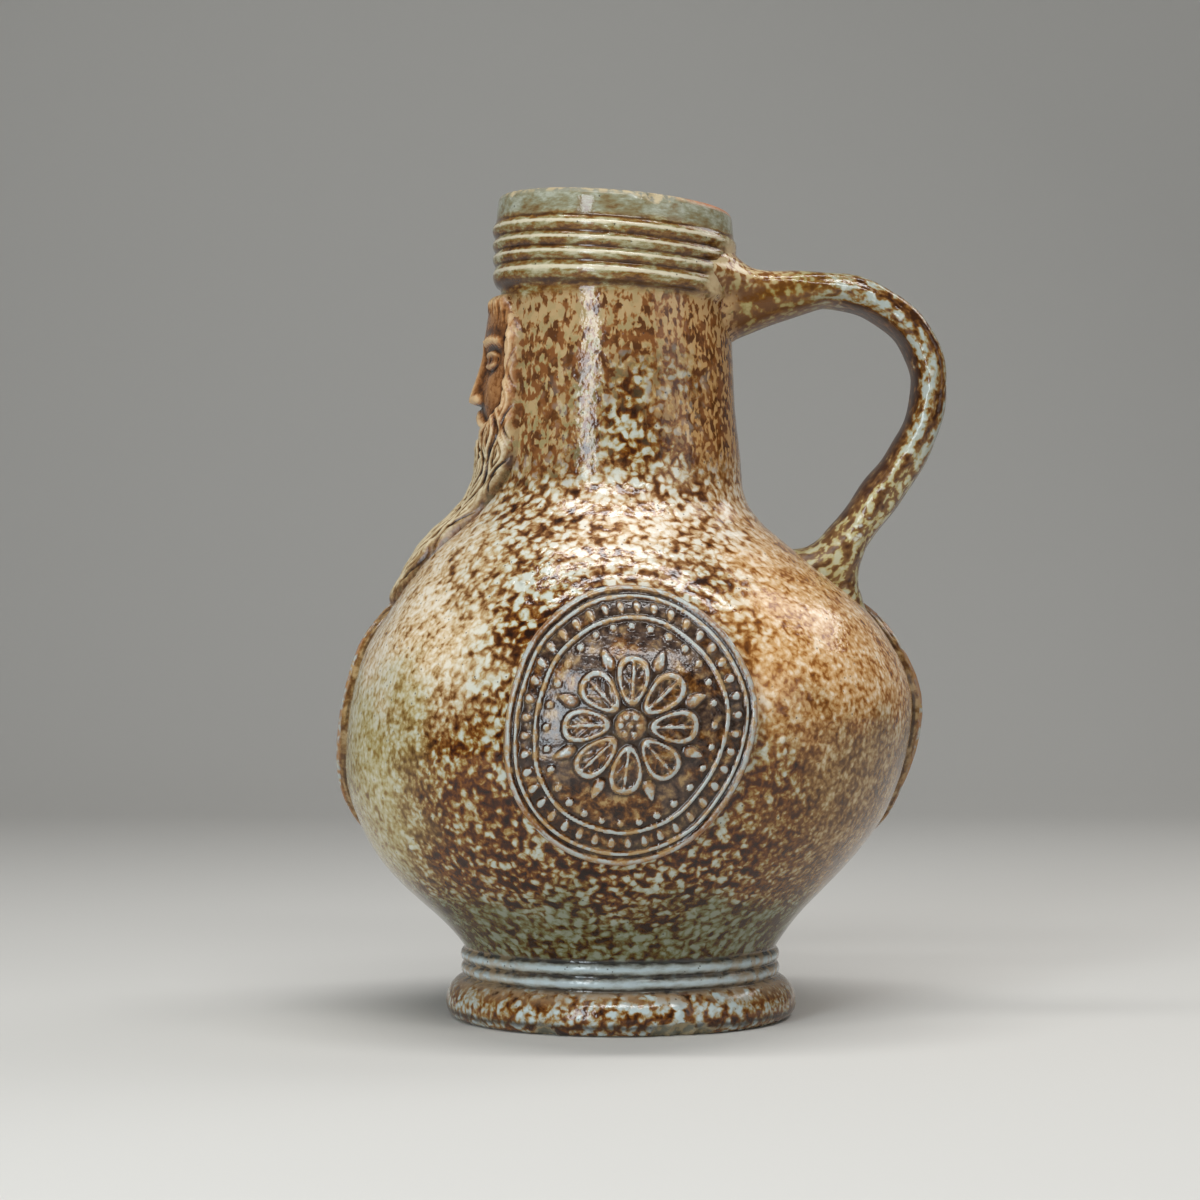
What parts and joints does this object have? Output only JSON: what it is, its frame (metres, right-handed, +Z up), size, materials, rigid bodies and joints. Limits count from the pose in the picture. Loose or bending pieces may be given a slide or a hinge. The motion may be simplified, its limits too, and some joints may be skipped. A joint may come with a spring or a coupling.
{
  "type": "bartmann jug",
  "caption": "Salt-glazed stoneware jug with a round belly, a bearded mask on its neck, oval medallions and a strap handle, for pouring and storing drink.",
  "frame": {"origin": "centre of the standing face under the foot", "axes": "+Z up along the axis of the thrown body, the mask faces -X, the handle is on +X"},
  "size_m": [0.1755, 0.1625, 0.23],
  "materials": {
    "body_stoneware": "glossy salt glaze, brown mottling over pale grey-tan",
    "handle_stoneware": "glossy salt glaze, brown spots and a brown streak over grey-olive",
    "mask_stoneware": "thin salt glaze, orange-tan with paler ridges",
    "medallion_stoneware": "salt glaze, brown-purple field with pale raised lines"
  },
  "bodies": {
    "root": {"body": "body_stoneware", "handle": "handle_stoneware", "face_mask": "mask_stoneware", "medallion_front": "medallion_stoneware", "medallion_left": "medallion_stoneware", "medallion_back": "medallion_stoneware"}
  },
  "joints": []
}
